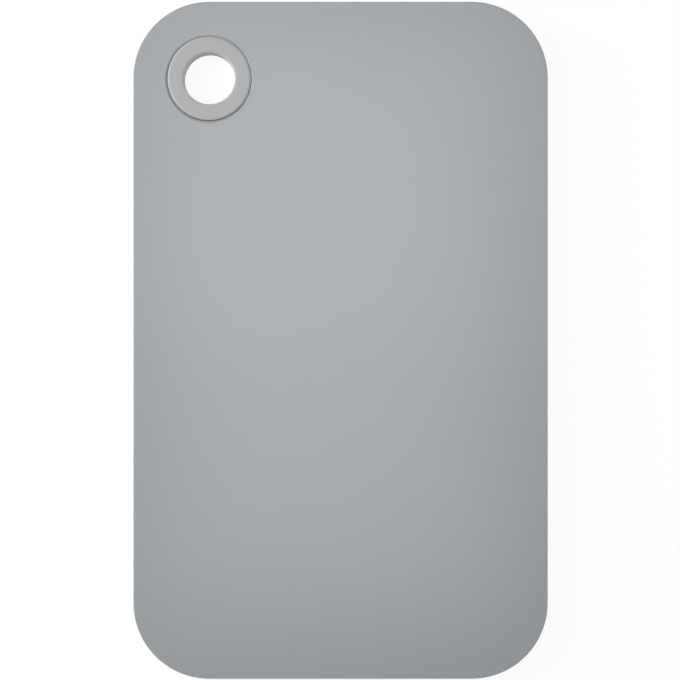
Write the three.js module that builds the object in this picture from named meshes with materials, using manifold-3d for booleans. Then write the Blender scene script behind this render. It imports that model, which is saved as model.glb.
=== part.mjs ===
// Breakfast board: a moulded plastic board with a soft ring that lines the hanging hole in one corner.
// Millimetres, +Z up. The origin is the middle of the underside, and +Y runs towards the ring's end.
// Both faces are alike, so the board can be used either way up.
import * as THREE from "three";
import { mergeVertices, toCreasedNormals } from "three/addons/utils/BufferGeometryUtils.js";
import Module from "manifold-3d";

// Board
const BOARD_LENGTH = 245;
const BOARD_WIDTH = 150;
const BOARD_THICKNESS = 8;
const BOARD_EDGE_RADIUS = 0.4; // rounding where each face meets the side
const CORNER_RADIUS = 27.5; // of the four corners, from above

// Ring: a grommet with a flange in each face and a waist between them
const RING_TO_SIDE = 27.5; // from its axis to the nearer long side
const RING_TO_END = 27.7; // from its axis to the nearer end
const RING_BORE_DIAMETER = 18.7; // clear hole for a finger or a hook
const RING_WALL = 2.85; // at the waist
const FLANGE_REACH = 3; // how far a flange stands out past the waist
const FLANGE_THICKNESS = 1.6;
const RING_EDGE_REACH = 0.9; // how far the rims' chamfers and the bore's rounded mouths run over a flange
const RING_EDGE_DROP = 0.36; // how far they fall

// Seat: a recess in each face and the web between them, which the ring's waist goes round
const SEAT_CLEARANCE = 0.3; // between the ring and the board, all over
const SEAT_EDGE_REACH = 0.8; // how far the chamfer where a recess opens runs over the board
const SEAT_EDGE_DROP = 0.42; // how far it falls

// Facets
const CORNER_DIVISIONS = 10; // an arc of a shape takes two segments for each division
const EDGE_SEGMENTS = 4;
const RING_SEGMENTS = 64;

const CUT_OVERRUN = 1; // how far the seat's cutter stands past each face
const SAME_POINT = 1e-4; // vertices closer than this are one
const CREASE_ANGLE = THREE.MathUtils.degToRad(40);

const boreRadius = RING_BORE_DIAMETER / 2;
const waistRadius = boreRadius + RING_WALL;
const flangeRadius = waistRadius + FLANGE_REACH;
const webRadius = waistRadius + SEAT_CLEARANCE;
const seatRadius = flangeRadius + SEAT_CLEARANCE;
const seatDepth = FLANGE_THICKNESS + SEAT_CLEARANCE;
const seatMouthRadius = seatRadius + SEAT_EDGE_REACH;
const cornerX = BOARD_WIDTH / 2 - CORNER_RADIUS; // centres of the corner arcs, from the middle
const cornerY = BOARD_LENGTH / 2 - CORNER_RADIUS;
const ringPlace = new THREE.Vector3(RING_TO_SIDE - BOARD_WIDTH / 2, BOARD_LENGTH / 2 - RING_TO_END, 0);

// Directions in a lathe profile, whose x is a radius and whose y is a height
const IN = new THREE.Vector2(-1, 0);
const UP = new THREE.Vector2(0, 1);
const DOWN = new THREE.Vector2(0, -1);

const boardMaterial = new THREE.MeshStandardMaterial({
  name: "board_plastic",
  color: 0xa8acaf,
  roughness: 0.5,
  metalness: 0,
});
const ringMaterial = new THREE.MeshStandardMaterial({
  name: "ring_rubber",
  color: 0xb3b4b5,
  roughness: 0.6,
  metalness: 0,
});

const wasm = await Module();
wasm.setup();

// A closed geometry as a solid that can be cut.
function solidOf(geometry) {
  const bare = geometry.clone();
  bare.deleteAttribute("normal");
  bare.deleteAttribute("uv");
  const merged = mergeVertices(bare, SAME_POINT);
  return new wasm.Manifold(
    new wasm.Mesh({
      numProp: 3,
      vertProperties: new Float32Array(merged.attributes.position.array),
      triVerts: new Uint32Array(merged.index.array),
    }),
  );
}

// A solid back as a geometry, smooth over its roundings and creased at its edges.
function geometryOf(solid) {
  const mesh = solid.getMesh();
  const geometry = new THREE.BufferGeometry();
  geometry.setAttribute("position", new THREE.BufferAttribute(mesh.vertProperties, mesh.numProp));
  geometry.setIndex(new THREE.BufferAttribute(mesh.triVerts, 1));
  return toCreasedNormals(geometry, CREASE_ANGLE);
}

// Points of a flattened quarter-round in a lathe profile, from one direction out of its centre to the next.
function quarterRound(centreRadius, centreHeight, from, to) {
  const size = new THREE.Vector2(RING_EDGE_REACH, RING_EDGE_DROP);
  return Array.from({ length: EDGE_SEGMENTS + 1 }, (_, step) => {
    const angle = ((Math.PI / 2) * step) / EDGE_SEGMENTS;
    return new THREE.Vector2()
      .addScaledVector(from, Math.cos(angle))
      .addScaledVector(to, Math.sin(angle))
      .multiply(size)
      .add(new THREE.Vector2(centreRadius, centreHeight));
  });
}

// A profile of radius and height, turned about +Z.
function turned(profile) {
  return new THREE.LatheGeometry(profile, RING_SEGMENTS).rotateX(Math.PI / 2);
}

// The board's outline from above.
function boardOutline() {
  const quarter = Math.PI / 2;
  return new THREE.Shape()
    .absarc(cornerX, cornerY, CORNER_RADIUS, 0, quarter)
    .absarc(-cornerX, cornerY, CORNER_RADIUS, quarter, 2 * quarter)
    .absarc(-cornerX, -cornerY, CORNER_RADIUS, 2 * quarter, 3 * quarter)
    .absarc(cornerX, -cornerY, CORNER_RADIUS, 3 * quarter, 4 * quarter)
    .closePath();
}

// The whole slab, with its edges rounded, before the seat is cut.
function slab() {
  return new THREE.ExtrudeGeometry(boardOutline(), {
    depth: BOARD_THICKNESS - 2 * BOARD_EDGE_RADIUS,
    curveSegments: CORNER_DIVISIONS,
    bevelEnabled: true,
    bevelThickness: BOARD_EDGE_RADIUS,
    bevelSize: BOARD_EDGE_RADIUS,
    bevelOffset: -BOARD_EDGE_RADIUS,
    bevelSegments: EDGE_SEGMENTS,
  }).translate(0, 0, BOARD_EDGE_RADIUS);
}

// What the seat takes out of the slab: the two recesses with their chamfered mouths, and the web's hole.
function seatCutter() {
  const top = BOARD_THICKNESS;
  return turned([
    new THREE.Vector2(0, -CUT_OVERRUN),
    new THREE.Vector2(seatMouthRadius, -CUT_OVERRUN),
    new THREE.Vector2(seatMouthRadius, 0),
    new THREE.Vector2(seatRadius, SEAT_EDGE_DROP),
    new THREE.Vector2(seatRadius, seatDepth),
    new THREE.Vector2(webRadius, seatDepth),
    new THREE.Vector2(webRadius, top - seatDepth),
    new THREE.Vector2(seatRadius, top - seatDepth),
    new THREE.Vector2(seatRadius, top - SEAT_EDGE_DROP),
    new THREE.Vector2(seatMouthRadius, top),
    new THREE.Vector2(seatMouthRadius, top + CUT_OVERRUN),
    new THREE.Vector2(0, top + CUT_OVERRUN),
  ]);
}

function board() {
  const cutter = seatCutter().translate(ringPlace.x, ringPlace.y, ringPlace.z);
  const cut = solidOf(slab()).subtract(solidOf(cutter));
  const mesh = new THREE.Mesh(geometryOf(cut), boardMaterial);
  mesh.name = "board";
  return mesh;
}

// The ring's section, listed once round from the lower mouth of the bore and closed on itself.
function ringSection() {
  const top = BOARD_THICKNESS;
  const rim = flangeRadius - RING_EDGE_REACH;
  const mouth = boreRadius + RING_EDGE_REACH;
  const lowerMouth = quarterRound(mouth, RING_EDGE_DROP, IN, DOWN);
  return [
    ...lowerMouth,
    new THREE.Vector2(rim, 0),
    new THREE.Vector2(flangeRadius, RING_EDGE_DROP),
    new THREE.Vector2(flangeRadius, FLANGE_THICKNESS),
    new THREE.Vector2(waistRadius, FLANGE_THICKNESS),
    new THREE.Vector2(waistRadius, top - FLANGE_THICKNESS),
    new THREE.Vector2(flangeRadius, top - FLANGE_THICKNESS),
    new THREE.Vector2(flangeRadius, top - RING_EDGE_DROP),
    new THREE.Vector2(rim, top),
    ...quarterRound(mouth, top - RING_EDGE_DROP, UP, IN),
    lowerMouth[0].clone(),
  ];
}

function hangingRing() {
  const mesh = new THREE.Mesh(toCreasedNormals(turned(ringSection()), CREASE_ANGLE), ringMaterial);
  mesh.name = "hanging_ring";
  mesh.position.copy(ringPlace);
  return mesh;
}

const breakfastBoard = new THREE.Group();
breakfastBoard.name = "breakfast_board";
breakfastBoard.add(board(), hangingRing());

export default breakfastBoard;
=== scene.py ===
"""Breakfast board: a moulded plastic board, and the soft ring that lines its hanging hole.

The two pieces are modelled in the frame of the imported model: metres, +Z up, lying on the floor at z = 0,
with the ring towards -X and +Y. The camera looks straight down, with +Y up in the picture.
"""

import math

import bmesh
import bpy
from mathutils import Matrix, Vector


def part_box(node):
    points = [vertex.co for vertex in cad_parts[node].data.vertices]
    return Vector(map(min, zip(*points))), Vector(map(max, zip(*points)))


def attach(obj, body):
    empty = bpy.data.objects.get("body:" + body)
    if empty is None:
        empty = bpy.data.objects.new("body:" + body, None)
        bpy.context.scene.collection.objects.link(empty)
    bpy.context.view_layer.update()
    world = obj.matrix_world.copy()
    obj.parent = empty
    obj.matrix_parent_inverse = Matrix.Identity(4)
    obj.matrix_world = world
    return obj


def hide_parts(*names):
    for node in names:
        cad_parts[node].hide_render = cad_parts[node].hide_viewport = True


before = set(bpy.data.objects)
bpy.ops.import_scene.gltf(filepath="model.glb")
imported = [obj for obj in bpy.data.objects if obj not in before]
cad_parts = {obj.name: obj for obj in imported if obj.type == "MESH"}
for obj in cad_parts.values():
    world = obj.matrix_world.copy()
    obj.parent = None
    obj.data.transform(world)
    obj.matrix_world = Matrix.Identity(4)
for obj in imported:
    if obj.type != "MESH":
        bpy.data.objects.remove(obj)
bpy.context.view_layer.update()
BOARD_LOW, BOARD_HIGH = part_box("board")
RING_LOW, RING_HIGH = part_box("hanging_ring")

bl_info = {
    "name": "Breakfast Board",
    "version": (1, 0, 0),
    "blender": (4, 5, 0),
    "location": "View3D > Sidebar > Breakfast Board",
    "description": "Models a breakfast board with a soft ring in its hanging hole",
    "category": "Add Mesh",
}

MM = 0.001
BODY = "root"

BOARD_SIZE = BOARD_HIGH - BOARD_LOW
RING_AXIS = (RING_LOW + RING_HIGH) / 2
TOP = BOARD_HIGH.z

# Fineness of the meshes
CORNER_SEGMENTS = 32
ROUND_SEGMENTS = 128
EDGE_SEGMENTS = 8
SMOOTH_ANGLE = math.radians(40)  # edges that turn by more stay sharp

# Profiles of the bevels
ROUND_PROFILE = 0.5
CHAMFER_PROFILE = 0.35  # nearly flat, with eased ends

# Cuts and tests
CUT_OVERRUN = 1 * MM  # how far a cutter stands past the face that it opens
SAME_POINT = 0.001 * MM  # points closer than this are merged
SAME_PLACE = 0.02 * MM  # places and lengths that differ by less count as one
LEVEL_FACE = 0.5  # a face whose normal has more Z than this, up or down, is level and not upright

# The photograph: a square frame, in which the board's length fills all but a few pixels
IMAGE_PIXELS = 680
BOARD_PIXELS = 676.84
BOARD_RIGHT_PIXELS = 0.49  # how far right of the frame's middle the board's middle lies
BOARD_DOWN_PIXELS = 0.27  # how far below it
SENSOR_MM = 36

# Lights overhead: their left, right, near and far sides, in metres from the board's middle
SOFTBOX_SIDES = (-0.136, 0.126, -0.2, 0.235)
SHEET_SIDES = (-0.2, 0.365, 0.0, 0.5)

# How far the sheet hangs over the softbox, because a ray meets only one of two lamps at the same height
SHEET_RISE = 0.01

# Lights at the sides: where their middles are, and their lengths and heights, in metres
LEFT_STRIP_PLACE = (-0.845, 0.149, 0.167)
LEFT_STRIP_SIZE = (0.9, 0.25)
LEFT_PANEL_PLACE = (-0.6, 0.12, 0.52)
LEFT_PANEL_SIZE = (0.6, 0.39)
RIGHT_STRIP_PLACE = (0.84, 0.0, 0.225)
RIGHT_STRIP_SIZE = (0.9, 0.3)

STRAIGHT_DOWN = (0, 0, 0)  # turn of a lamp or a camera that faces the floor

# Colours
BOARD_GREY = "#93989C"
RING_GREY = "#ABACAE"
FLOOR_WHITE = "#FAFAFA"
LAMP_WHITE = "#FFFFFF"


def linear(hex_code):
    """A colour written as sRGB hex, in the linear values that Blender works with."""
    channels = [int(hex_code[place:place + 2], 16) / 255 for place in (1, 3, 5)]
    return [c / 12.92 if c <= 0.04045 else ((c + 0.055) / 1.055) ** 2.4 for c in channels]


class BoardSettings(bpy.types.PropertyGroup):
    """Sizes and colour of the board."""

    corner_radius: bpy.props.FloatProperty(
        name="Corner Radius",
        description="Radius of the four corners from above",
        default=27.5 * MM,
        subtype="DISTANCE",
        unit="LENGTH",
    )
    edge_radius: bpy.props.FloatProperty(
        name="Edge Radius",
        description="Rounding where each face meets the side",
        default=0.4 * MM,
        subtype="DISTANCE",
        unit="LENGTH",
    )
    seat_clearance: bpy.props.FloatProperty(
        name="Seat Clearance",
        description="Gap between the ring and its seat in the board, on average",
        default=0.18 * MM,
        subtype="DISTANCE",
        unit="LENGTH",
    )
    seat_offset: bpy.props.FloatProperty(
        name="Seat Offset",
        description="How far the soft ring sits off its seat's middle, towards the board's end",
        default=0.16 * MM,
        subtype="DISTANCE",
        unit="LENGTH",
    )
    seat_edge_reach: bpy.props.FloatProperty(
        name="Seat Edge Reach",
        description="How far the chamfer where the ring's recess opens runs over the board",
        default=0.8 * MM,
        subtype="DISTANCE",
        unit="LENGTH",
    )
    seat_edge_drop: bpy.props.FloatProperty(
        name="Seat Edge Drop",
        description="How far the chamfer where the ring's recess opens falls",
        default=0.28 * MM,
        subtype="DISTANCE",
        unit="LENGTH",
    )
    colour: bpy.props.FloatVectorProperty(
        name="Colour",
        description="Grey of the board's plastic",
        default=linear(BOARD_GREY),
        subtype="COLOR",
        min=0,
        max=1,
    )


class RingSettings(bpy.types.PropertyGroup):
    """Sizes and colour of the ring."""

    bore_radius: bpy.props.FloatProperty(
        name="Bore Radius",
        description="Radius of the clear hole through the ring",
        default=9.35 * MM,
        subtype="DISTANCE",
        unit="LENGTH",
    )
    waist_radius: bpy.props.FloatProperty(
        name="Waist Radius",
        description="Outer radius of the ring between its two flanges",
        default=12.2 * MM,
        subtype="DISTANCE",
        unit="LENGTH",
    )
    flange_radius: bpy.props.FloatProperty(
        name="Flange Radius",
        description="Outer radius of the two flanges, which lie flush in the board's faces",
        default=(RING_HIGH.x - RING_LOW.x) / 2,
        subtype="DISTANCE",
        unit="LENGTH",
    )
    flange_thickness: bpy.props.FloatProperty(
        name="Flange Thickness",
        description="Thickness of each flange",
        default=1.6 * MM,
        subtype="DISTANCE",
        unit="LENGTH",
    )
    edge_reach: bpy.props.FloatProperty(
        name="Edge Reach",
        description="How far the rims' chamfers and the bore's rounded mouths run over a flange",
        default=0.9 * MM,
        subtype="DISTANCE",
        unit="LENGTH",
    )
    edge_drop: bpy.props.FloatProperty(
        name="Edge Drop",
        description="How far the rims' chamfers and the bore's rounded mouths fall",
        default=0.36 * MM,
        subtype="DISTANCE",
        unit="LENGTH",
    )
    colour: bpy.props.FloatVectorProperty(
        name="Colour",
        description="Grey of the ring's rubber",
        default=linear(RING_GREY),
        subtype="COLOR",
        min=0,
        max=1,
    )


class StageSettings(bpy.types.PropertyGroup):
    """Camera, light and floor."""

    camera_height: bpy.props.FloatProperty(
        name="Camera Height",
        description="Height of the camera over the board's upper face",
        default=0.7,
        subtype="DISTANCE",
        unit="LENGTH",
    )
    softbox_height: bpy.props.FloatProperty(
        name="Softbox Height",
        description="Height of the overhead softbox over the board's upper face",
        default=0.7,
        subtype="DISTANCE",
        unit="LENGTH",
    )
    softbox_brightness: bpy.props.FloatProperty(
        name="Softbox Brightness",
        description="Brightness of the overhead softbox, where 1 is white",
        default=3.32,
        min=0,
    )
    sheet_brightness: bpy.props.FloatProperty(
        name="Overhead Sheet Brightness",
        description="Brightness of the wider, dimmer sheet over the softbox, where 1 is white",
        default=0.96,
        min=0,
    )
    left_brightness: bpy.props.FloatProperty(
        name="Left Light Brightness",
        description="Brightness of the strip light at the left, where 1 is white",
        default=11.0,
        min=0,
    )
    panel_brightness: bpy.props.FloatProperty(
        name="Left Panel Brightness",
        description="Brightness of the panel above the left strip, where 1 is white",
        default=3.6,
        min=0,
    )
    right_brightness: bpy.props.FloatProperty(
        name="Right Light Brightness",
        description="Brightness of the strip light at the right, where 1 is white",
        default=3.0,
        min=0,
    )
    wall_brightness: bpy.props.FloatProperty(
        name="Wall Brightness",
        description="Brightness of the light tent's walls, where 1 is white",
        default=1.0,
        min=0,
    )
    roof_brightness: bpy.props.FloatProperty(
        name="Roof Brightness",
        description="Brightness of the light tent's roof, where 1 is white",
        default=0.03,
        min=0,
    )
    shadow_share: bpy.props.FloatProperty(
        name="Shadow Share",
        description="How much of the floor's white comes from the lamps, and so shows the shadow",
        default=0.15,
        min=0,
        max=1,
        subtype="FACTOR",
    )
    floor_colour: bpy.props.FloatVectorProperty(
        name="Floor Colour",
        description="White of the floor",
        default=linear(FLOOR_WHITE),
        subtype="COLOR",
        min=0,
        max=1,
    )


def add_node(tree, kind, inputs=None, **settings):
    """Add a node, give it its settings, and set or link its inputs."""
    node = tree.nodes.new(kind)
    for name, value in settings.items():
        setattr(node, name, value)
    for socket, value in (inputs or {}).items():
        if isinstance(value, bpy.types.NodeSocket):
            tree.links.new(value, node.inputs[socket])
        else:
            node.inputs[socket].default_value = value
    return node


def empty_material(name):
    """A new material whose node tree holds nothing yet."""
    material = bpy.data.materials.new(name)
    material.use_nodes = True
    material.node_tree.nodes.clear()
    return material


def moulded_skin(tree, colour, ior, clouds, shades, sheen, roughnesses, relief, relief_height):
    """The skin of a moulding, from three patterns: clouds in its colour, its sheen, and its relief.

    The clouds run between the two shades of the colour, and the sheen between the two roughnesses.
    """
    shade = add_node(
        tree,
        "ShaderNodeMapRange",
        {"Value": clouds, "To Min": shades[0], "To Max": shades[1]},
    )
    tinted = add_node(
        tree,
        "ShaderNodeVectorMath",
        {0: colour, "Scale": shade.outputs["Result"]},
        operation="SCALE",
    )
    roughness = add_node(
        tree,
        "ShaderNodeMapRange",
        {"Value": sheen, "To Min": roughnesses[0], "To Max": roughnesses[1]},
    )
    bump = add_node(
        tree,
        "ShaderNodeBump",
        {"Height": relief, "Strength": 1.0, "Distance": relief_height},
    )
    surface = add_node(
        tree,
        "ShaderNodeBsdfPrincipled",
        {
            "Base Color": tinted.outputs["Vector"],
            "Roughness": roughness.outputs["Result"],
            "IOR": ior,
            "Normal": bump.outputs["Normal"],
        },
    )
    add_node(tree, "ShaderNodeOutputMaterial", {"Surface": surface.outputs["BSDF"]})


def moulded_polypropylene(colour):
    """Polypropylene moulded against a finely eroded steel face.

    It gives a soft sheen that shows the softbox as a blurred bright field, a fine grain up close, and slight
    clouds where the pigment and the sheen follow the flow of the melt.
    """
    grain = 0.5 * MM  # the real grain is finer; drawn coarse enough to show from close up
    grain_height = 0.004 * MM
    flow_cloud = 45 * MM
    flow_shades = (0.985, 1.015)
    sheen_cloud = 9 * MM
    sheen_roughnesses = (0.2, 0.24)
    material = empty_material("moulded_polypropylene")
    tree = material.node_tree
    place = add_node(tree, "ShaderNodeTexCoord").outputs["Object"]
    grain_noise = add_node(
        tree,
        "ShaderNodeTexNoise",
        {"Vector": place, "Scale": 1 / grain, "Detail": 3.0, "Roughness": 0.6},
    )
    flow_noise = add_node(
        tree,
        "ShaderNodeTexNoise",
        {"Vector": place, "Scale": 1 / flow_cloud, "Detail": 2.0, "Distortion": 0.6},
    )
    sheen_noise = add_node(
        tree,
        "ShaderNodeTexNoise",
        {"Vector": place, "Scale": 1 / sheen_cloud, "Detail": 4.0},
    )
    moulded_skin(
        tree,
        colour,
        ior=1.49,
        clouds=flow_noise.outputs["Fac"],
        shades=flow_shades,
        sheen=sheen_noise.outputs["Fac"],
        roughnesses=sheen_roughnesses,
        relief=grain_noise.outputs["Fac"],
        relief_height=grain_height,
    )
    return material


def moulded_silicone(colour):
    """Silicone rubber, moulded.

    It is duller than the board beside it, with a dusty look: a soft, wide sheen, a slightly uneven skin,
    and a faint paler bloom in patches.
    """
    skin = 0.7 * MM
    skin_height = 0.006 * MM
    bloom = 5 * MM
    bloom_shades = (0.98, 1.02)
    bloom_roughnesses = (0.42, 0.48)
    material = empty_material("moulded_silicone")
    tree = material.node_tree
    place = add_node(tree, "ShaderNodeTexCoord").outputs["Object"]
    skin_noise = add_node(
        tree,
        "ShaderNodeTexNoise",
        {"Vector": place, "Scale": 1 / skin, "Detail": 3.0, "Roughness": 0.55},
    )
    bloom_noise = add_node(
        tree,
        "ShaderNodeTexNoise",
        {"Vector": place, "Scale": 1 / bloom, "Detail": 4.0},
    )
    moulded_skin(
        tree,
        colour,
        ior=1.43,
        clouds=bloom_noise.outputs["Fac"],
        shades=bloom_shades,
        sheen=bloom_noise.outputs["Fac"],
        roughnesses=bloom_roughnesses,
        relief=skin_noise.outputs["Fac"],
        relief_height=skin_height,
    )
    return material


def background_ray(tree):
    """1 for the rays that should meet a white background, and 0 for those that carry light."""
    path = add_node(tree, "ShaderNodeLightPath").outputs
    seen = add_node(
        tree,
        "ShaderNodeMath",
        {0: path["Is Camera Ray"], 1: path["Is Glossy Ray"]},
        operation="ADD",
    )
    seen_or_through = add_node(
        tree,
        "ShaderNodeMath",
        {0: seen.outputs["Value"], 1: path["Is Transmission Ray"]},
        operation="ADD",
        use_clamp=True,
    )
    return seen_or_through.outputs["Value"]


def white_floor(colour, shadow_share):
    """Matt white paper, washed out to the eye as in a cut-out photograph, with a trace of shadow left."""
    lit_paper = 0.72  # how bright the lamps alone make it, away from the shadow
    shadow_full = 0.25  # how far from the board's middle the shadow shows in full
    shadow_gone = 0.5  # how far from it the shadow has faded away
    white_glow = (1 - shadow_share * lit_paper) / (1 - shadow_share)
    material = empty_material("matt_white_paper")
    tree = material.node_tree
    paper = add_node(tree, "ShaderNodeBsdfDiffuse", {"Color": [*colour, 1.0]})
    glow = add_node(tree, "ShaderNodeEmission", {"Strength": white_glow})
    place = add_node(tree, "ShaderNodeTexCoord").outputs["Object"]
    distance = add_node(tree, "ShaderNodeVectorMath", {0: place}, operation="LENGTH")
    washed_out = add_node(
        tree,
        "ShaderNodeMapRange",
        {
            "Value": distance.outputs["Value"],
            "From Min": shadow_full,
            "From Max": shadow_gone,
            "To Min": 1 - shadow_share,
            "To Max": 1.0,
        },
        interpolation_type="SMOOTHSTEP",
    )
    glow_share = add_node(
        tree,
        "ShaderNodeMath",
        {0: background_ray(tree), 1: washed_out.outputs["Result"]},
        operation="MULTIPLY",
    )
    mixed = add_node(
        tree,
        "ShaderNodeMixShader",
        {0: glow_share.outputs["Value"], 1: paper.outputs["BSDF"], 2: glow.outputs["Emission"]},
    )
    add_node(tree, "ShaderNodeOutputMaterial", {"Surface": mixed.outputs["Shader"]})
    return material


def light_tent(wall, roof):
    """A white tent: white where it is seen, and as a light bright at its walls and dimmer at its roof."""
    roof_begins = 0.4  # height on the unit sphere at which the walls have gone over into the roof
    world = bpy.data.worlds.new("light_tent")
    world.use_nodes = True
    tree = world.node_tree
    tree.nodes.clear()
    direction = add_node(tree, "ShaderNodeTexCoord").outputs["Generated"]
    height = add_node(tree, "ShaderNodeSeparateXYZ", {"Vector": direction}).outputs["Z"]
    lit = add_node(
        tree,
        "ShaderNodeMapRange",
        {"Value": height, "From Max": roof_begins, "To Min": wall, "To Max": roof},
        interpolation_type="SMOOTHSTEP",
    )
    strength = add_node(
        tree,
        "ShaderNodeMath",
        {0: lit.outputs["Result"], 1: background_ray(tree)},
        operation="MAXIMUM",
    )
    background = add_node(
        tree,
        "ShaderNodeBackground",
        {"Color": [*linear(LAMP_WHITE), 1.0], "Strength": strength.outputs["Value"]},
    )
    add_node(tree, "ShaderNodeOutputWorld", {"Surface": background.outputs["Background"]})
    return world


def make_active(piece):
    """Select one object only, and make it the active one."""
    bpy.ops.object.select_all(action="DESELECT")
    piece.select_set(True)
    bpy.context.view_layer.objects.active = piece


def select_where(piece, kind, wanted):
    """In edit mode, select just the vertices, edges or faces that pass a test."""
    bpy.ops.mesh.select_mode(type=kind)
    bpy.ops.mesh.select_all(action="DESELECT")
    mesh = bmesh.from_edit_mesh(piece.data)
    mesh.normal_update()
    elements = {"VERT": mesh.verts, "EDGE": mesh.edges, "FACE": mesh.faces}[kind]
    chosen = [element for element in elements if wanted(element)]
    if not chosen:
        raise RuntimeError(f"{piece.name} has nothing to select there")
    for element in chosen:
        element.select_set(True)
    bmesh.update_edit_mesh(piece.data)


def stretch_upwards(piece, factor):
    """In edit mode, scale a piece's whole mesh along Z about the floor."""
    bpy.ops.object.mode_set(mode="OBJECT")
    piece.scale.z = factor
    bpy.ops.object.transform_apply(location=False, rotation=False, scale=True)
    bpy.ops.object.mode_set(mode="EDIT")


def flat_bevel(piece, reach, drop, profile, affect):
    """In edit mode, bevel what is selected: its reach across the flat face, and its drop down the wall.

    A bevel is as wide as it is deep, so the piece is stretched upwards for it and then set back.
    """
    stretch = reach / drop
    stretch_upwards(piece, stretch)
    bpy.ops.mesh.bevel(offset=reach, segments=EDGE_SEGMENTS, profile=profile, affect=affect)
    stretch_upwards(piece, 1 / stretch)


def from_axis(point, axis):
    """Distance of a point from an upright axis."""
    return (point.xy - axis.xy).length


def is_upright(edge):
    """Whether an edge runs along Z."""
    first, second = edge.verts
    return (first.co.xy - second.co.xy).length < SAME_PLACE


def is_face_rim(edge):
    """Whether an edge bounds the board's upper or lower face."""
    heights = [vertex.co.z for vertex in edge.verts]
    at_top = all(abs(height - BOARD_HIGH.z) < SAME_PLACE for height in heights)
    at_bottom = all(abs(height - BOARD_LOW.z) < SAME_PLACE for height in heights)
    level = [face for face in edge.link_faces if abs(face.normal.z) > LEVEL_FACE]
    return (at_top or at_bottom) and len(level) == 1


def cut_round(piece, axis, radius, low, high):
    """Cut a round hole about an upright axis, between two heights."""
    bpy.ops.object.select_all(action="DESELECT")
    bpy.ops.mesh.primitive_cylinder_add(
        vertices=ROUND_SEGMENTS,
        radius=radius,
        depth=high - low,
        location=(axis.x, axis.y, (low + high) / 2),
    )
    cutter = bpy.context.object
    make_active(piece)
    bpy.ops.object.modifier_add(type="BOOLEAN")
    cut = piece.modifiers[-1]
    cut.operation = "DIFFERENCE"
    cut.solver = "EXACT"
    cut.object = cutter
    bpy.ops.object.modifier_apply(modifier=cut.name)
    bpy.data.objects.remove(cutter)


def finish_piece(piece, material, node):
    """Shade a piece so that its flats look flat and its roundings round, and tie it to the part."""
    make_active(piece)
    bpy.ops.object.shade_smooth_by_angle(angle=SMOOTH_ANGLE)
    bpy.ops.object.modifier_add(type="WEIGHTED_NORMAL")
    normals = piece.modifiers[-1]
    normals.keep_sharp = True
    bpy.ops.object.modifier_apply(modifier=normals.name)
    piece.data.materials.append(material)
    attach(piece, BODY)
    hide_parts(node)


class BREAKFASTBOARD_OT_board(bpy.types.Operator):
    """Model the moulded board, with the stepped seat for its ring"""

    bl_idname = "breakfast_board.add_board"
    bl_label = "Moulded Board"

    def execute(self, context):
        board_settings = context.scene.breakfast_board
        ring_settings = context.scene.breakfast_board_ring
        seat_radius = ring_settings.flange_radius + board_settings.seat_clearance
        seat_depth = ring_settings.flange_thickness + board_settings.seat_clearance
        web_radius = ring_settings.waist_radius + board_settings.seat_clearance
        seat_axis = RING_AXIS - Vector((0, board_settings.seat_offset, 0))
        bpy.ops.object.select_all(action="DESELECT")
        bpy.ops.mesh.primitive_cube_add(size=1, location=(BOARD_LOW + BOARD_HIGH) / 2, scale=BOARD_SIZE)
        board = context.object
        board.name = "moulded_board"
        bpy.ops.object.transform_apply(location=True, rotation=True, scale=True)

        # Corners, and lines across the faces through the seat's axis, so that no face has a hole within it
        bpy.ops.object.mode_set(mode="EDIT")
        select_where(board, "EDGE", is_upright)
        bpy.ops.mesh.bevel(
            offset=board_settings.corner_radius, segments=CORNER_SEGMENTS, profile=ROUND_PROFILE
        )
        for normal in ((1, 0, 0), (0, 1, 0)):
            bpy.ops.mesh.select_all(action="SELECT")
            bpy.ops.mesh.bisect(plane_co=seat_axis, plane_no=normal, threshold=SAME_PLACE)
        bpy.ops.object.mode_set(mode="OBJECT")

        # Seat: a recess for a flange in each face, and a narrower hole between them for the waist
        cut_round(board, seat_axis, web_radius, BOARD_LOW.z - CUT_OVERRUN, BOARD_HIGH.z + CUT_OVERRUN)
        cut_round(board, seat_axis, seat_radius, BOARD_LOW.z - CUT_OVERRUN, BOARD_LOW.z + seat_depth)
        cut_round(board, seat_axis, seat_radius, BOARD_HIGH.z - seat_depth, BOARD_HIGH.z + CUT_OVERRUN)

        # Rounded edges round both faces, and a chamfer where each recess opens
        def opens_seat(edge):
            return from_axis(edge.verts[0].co, seat_axis) < seat_radius + SAME_PLACE

        bpy.ops.object.mode_set(mode="EDIT")
        bpy.ops.mesh.select_all(action="SELECT")
        bpy.ops.mesh.remove_doubles(threshold=SAME_POINT)
        select_where(board, "EDGE", lambda edge: is_face_rim(edge) and not opens_seat(edge))
        bpy.ops.mesh.bevel(
            offset=board_settings.edge_radius, segments=EDGE_SEGMENTS, profile=ROUND_PROFILE
        )
        select_where(board, "EDGE", lambda edge: is_face_rim(edge) and opens_seat(edge))
        flat_bevel(
            board,
            board_settings.seat_edge_reach,
            board_settings.seat_edge_drop,
            CHAMFER_PROFILE,
            "EDGES",
        )
        bpy.ops.object.mode_set(mode="OBJECT")
        finish_piece(board, moulded_polypropylene(board_settings.colour), "board")
        return {"FINISHED"}


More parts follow.
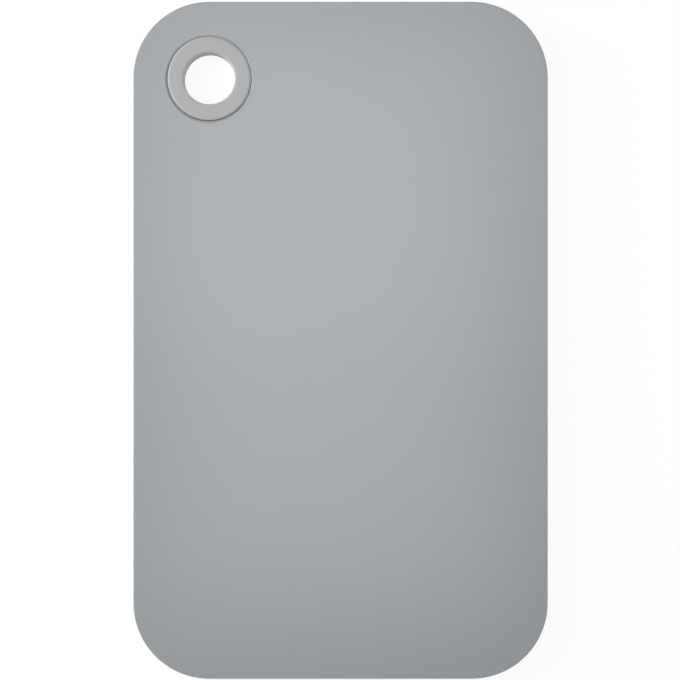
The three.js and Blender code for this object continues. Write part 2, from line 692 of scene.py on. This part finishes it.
class BREAKFASTBOARD_OT_ring(bpy.types.Operator):
    """Model the soft ring that lines the hanging hole"""

    bl_idname = "breakfast_board.add_ring"
    bl_label = "Soft Ring"

    def execute(self, context):
        settings = context.scene.breakfast_board_ring
        low, high = RING_LOW.z, RING_HIGH.z
        width = settings.flange_radius - settings.bore_radius
        middle = Vector((RING_AXIS.x + settings.bore_radius + width / 2, RING_AXIS.y, (low + high) / 2))
        bpy.ops.object.select_all(action="DESELECT")
        bpy.ops.mesh.primitive_plane_add(size=1, location=middle, rotation=(math.pi / 2, 0, 0))
        ring = context.object
        ring.name = "soft_ring"
        ring.scale = (width, high - low, 1)
        bpy.ops.object.transform_apply(location=True, rotation=True, scale=True)

        # Section: two flanges, and the waist that is left when the middle is cut back
        waist_x = RING_AXIS.x + settings.waist_radius
        waist_low = low + settings.flange_thickness
        waist_high = high - settings.flange_thickness

        def is_between_flanges(face):
            return waist_low < face.calc_center_median().z < waist_high

        bpy.ops.object.mode_set(mode="EDIT")
        for height in (waist_low, waist_high):
            bpy.ops.mesh.select_all(action="SELECT")
            bpy.ops.mesh.bisect(plane_co=(0, 0, height), plane_no=(0, 0, 1), threshold=SAME_PLACE)
        select_where(ring, "FACE", is_between_flanges)
        bpy.ops.mesh.bisect(plane_co=(waist_x, 0, 0), plane_no=(1, 0, 0), threshold=SAME_PLACE)
        select_where(
            ring,
            "FACE",
            lambda face: is_between_flanges(face) and face.calc_center_median().x > waist_x,
        )
        bpy.ops.mesh.delete(type="FACE")
        bpy.ops.mesh.select_all(action="SELECT")
        bpy.ops.mesh.dissolve_faces()

        # Flattened roundings of the bore's mouths, and eased chamfers round the rims
        for radius, profile in (
            (settings.bore_radius, ROUND_PROFILE),
            (settings.flange_radius, CHAMFER_PROFILE),
        ):
            select_where(
                ring,
                "VERT",
                lambda vertex: min(abs(vertex.co.z - low), abs(vertex.co.z - high)) < SAME_PLACE
                and abs(from_axis(vertex.co, RING_AXIS) - radius) < SAME_PLACE,
            )
            flat_bevel(ring, settings.edge_reach, settings.edge_drop, profile, "VERTICES")

        # The turn about the axis
        bpy.ops.mesh.select_all(action="SELECT")
        bpy.ops.mesh.delete(type="ONLY_FACE")
        bpy.ops.mesh.select_all(action="SELECT")
        bpy.ops.mesh.spin(
            steps=ROUND_SEGMENTS,
            angle=2 * math.pi,
            center=RING_AXIS,
            axis=(0, 0, 1),
            use_auto_merge=True,
        )
        bpy.ops.mesh.select_all(action="SELECT")
        bpy.ops.mesh.remove_doubles(threshold=SAME_POINT)
        bpy.ops.mesh.normals_make_consistent(inside=False)
        bpy.ops.object.mode_set(mode="OBJECT")
        finish_piece(ring, moulded_silicone(settings.colour), "hanging_ring")
        return {"FINISHED"}


class BREAKFASTBOARD_OT_stage(bpy.types.Operator):
    """Lay the white floor, and set the light and the camera"""

    bl_idname = "breakfast_board.add_stage"
    bl_label = "Stage"

    def execute(self, context):
        settings = context.scene.breakfast_board_stage
        self.lay_floor(context, settings)
        self.hang_lights(context, settings)
        self.place_camera(context, settings)
        context.scene.world = light_tent(settings.wall_brightness, settings.roof_brightness)
        context.scene.view_settings.view_transform = "Standard"
        return {"FINISHED"}

    def lay_floor(self, context, settings):
        """A wide white floor, a hair below the board."""
        floor_size = 40.0  # metres, so that low views show no edge of it
        floor_gap = 0.05 * MM
        bpy.ops.object.select_all(action="DESELECT")
        bpy.ops.mesh.primitive_plane_add(size=floor_size, location=(0, 0, BOARD_LOW.z - floor_gap))
        floor = context.object
        floor.name = "floor"
        floor.data.materials.append(white_floor(settings.floor_colour, settings.shadow_share))

    def hang_lights(self, context, settings):
        """A softbox and a wider, dimmer sheet overhead, a panel at the left, and a low strip at each side.

        The strips aren't mirrored, because in low views the board's face would wash out to white with them.
        """
        sheet_height = settings.softbox_height + SHEET_RISE
        for name, (left, right, near, far), height, brightness in (
            ("softbox", SOFTBOX_SIDES, settings.softbox_height, settings.softbox_brightness),
            ("overhead_sheet", SHEET_SIDES, sheet_height, settings.sheet_brightness),
        ):
            place = ((left + right) / 2, (near + far) / 2, TOP + height)
            size = (right - left, far - near)
            self.add_lamp(context, name, True, place, STRAIGHT_DOWN, size, brightness)
        for name, mirrored, place, size, brightness in (
            ("left_strip", False, LEFT_STRIP_PLACE, LEFT_STRIP_SIZE, settings.left_brightness),
            ("left_panel", True, LEFT_PANEL_PLACE, LEFT_PANEL_SIZE, settings.panel_brightness),
            ("right_strip", False, RIGHT_STRIP_PLACE, RIGHT_STRIP_SIZE, settings.right_brightness),
        ):
            aim = (Vector((0, 0, TOP)) - Vector(place)).to_track_quat("-Z", "Y").to_euler()
            self.add_lamp(context, name, mirrored, place, aim, size, brightness)

    def add_lamp(self, context, name, mirrored, place, turn, size, brightness):
        """A flat lamp of even brightness, where 1 would show as white.

        A lamp that isn't mirrored lights the surfaces but stays out of their gloss.
        """
        bpy.ops.object.light_add(type="AREA", location=place, rotation=turn)
        lamp = context.object
        lamp.name = name
        lamp.visible_camera = False
        lamp.visible_glossy = mirrored
        lamp.data.shape = "RECTANGLE"
        lamp.data.size, lamp.data.size_y = size
        lamp.data.color = linear(LAMP_WHITE)
        lamp.data.energy = brightness * math.pi * size[0] * size[1]

    def place_camera(self, context, settings):
        """Straight above the board, at the scale and the offset of the photograph."""
        pixel = BOARD_SIZE.y / BOARD_PIXELS
        place = (
            -BOARD_RIGHT_PIXELS * pixel,
            BOARD_DOWN_PIXELS * pixel,
            TOP + settings.camera_height,
        )
        bpy.ops.object.camera_add(location=place, rotation=STRAIGHT_DOWN)
        camera = context.object
        outline_distance = settings.camera_height + context.scene.breakfast_board.edge_radius
        camera.data.sensor_width = SENSOR_MM
        camera.data.lens = SENSOR_MM * outline_distance / (pixel * IMAGE_PIXELS)
        context.scene.camera = camera


class BREAKFASTBOARD_PT_panel(bpy.types.Panel):
    """Sizes, colours and buttons of the breakfast board"""

    bl_idname = "BREAKFASTBOARD_PT_panel"
    bl_label = "Breakfast Board"
    bl_space_type = "VIEW_3D"
    bl_region_type = "UI"
    bl_category = "Breakfast Board"

    def draw(self, context):
        scene = context.scene
        groups = (
            (BREAKFASTBOARD_OT_board, scene.breakfast_board),
            (BREAKFASTBOARD_OT_ring, scene.breakfast_board_ring),
            (BREAKFASTBOARD_OT_stage, scene.breakfast_board_stage),
        )
        for operator, settings in groups:
            box = self.layout.box()
            for name in settings.bl_rna.properties.keys():
                if name not in ("rna_type", "name"):
                    box.prop(settings, name)
            box.operator(operator.bl_idname)


CLASSES = (
    BoardSettings,
    RingSettings,
    StageSettings,
    BREAKFASTBOARD_OT_board,
    BREAKFASTBOARD_OT_ring,
    BREAKFASTBOARD_OT_stage,
    BREAKFASTBOARD_PT_panel,
)


def register():
    for kind in CLASSES:
        bpy.utils.register_class(kind)
    bpy.types.Scene.breakfast_board = bpy.props.PointerProperty(type=BoardSettings)
    bpy.types.Scene.breakfast_board_ring = bpy.props.PointerProperty(type=RingSettings)
    bpy.types.Scene.breakfast_board_stage = bpy.props.PointerProperty(type=StageSettings)


def unregister():
    del bpy.types.Scene.breakfast_board_stage
    del bpy.types.Scene.breakfast_board_ring
    del bpy.types.Scene.breakfast_board
    for kind in reversed(CLASSES):
        bpy.utils.unregister_class(kind)


def main():
    register()
    bpy.ops.breakfast_board.add_board()
    bpy.ops.breakfast_board.add_ring()
    bpy.ops.breakfast_board.add_stage()


if __name__ == "__main__":
    main()
